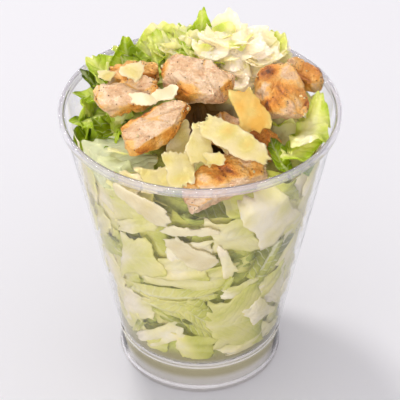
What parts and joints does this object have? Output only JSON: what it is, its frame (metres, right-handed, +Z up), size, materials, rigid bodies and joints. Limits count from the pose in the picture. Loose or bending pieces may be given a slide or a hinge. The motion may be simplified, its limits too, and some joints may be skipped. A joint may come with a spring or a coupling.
{
  "type": "chicken caesar salad",
  "caption": "Heaped salad of cut lettuce with grilled chicken slices and parmesan shavings in a clear tapered cup, for a meal or a counter display.",
  "frame": {"origin": "on the cup's axis, at the level of the foot that it stands on", "axes": "+Z up along the cup's axis, -Y towards the side that the picture shows, +X to that side's right"},
  "size_m": [0.098, 0.098, 0.126],
  "materials": {
    "cup": "clear and smooth",
    "lettuce": "moist leaf",
    "chicken": "browned and peppered",
    "cheese": "dry and grainy"
  },
  "bodies": {
    "root": {"cup": "cup", "lettuce": "lettuce", "chicken_left_front": "chicken", "chicken_left_back": "chicken", "chicken_front_left": "chicken", "chicken_top": "chicken", "chicken_middle": "chicken", "chicken_front": "chicken", "chicken_right": "chicken", "chicken_right_back": "chicken", "cheese_tongue": "cheese", "cheese_long": "cheese", "cheese_flake": "cheese", "cheese_tip": "cheese", "cheese_triangle": "cheese", "cheese_crumb": "cheese", "cheese_left_slab": "cheese", "cheese_right_slab": "cheese", "cheese_square": "cheese", "cheese_front": "cheese", "cheese_front_left": "cheese", "cheese_small": "cheese", "cheese_strip": "cheese", "cheese_wall_high": "cheese", "cheese_wall_middle": "cheese", "cheese_wall_low": "cheese"}
  },
  "joints": []
}
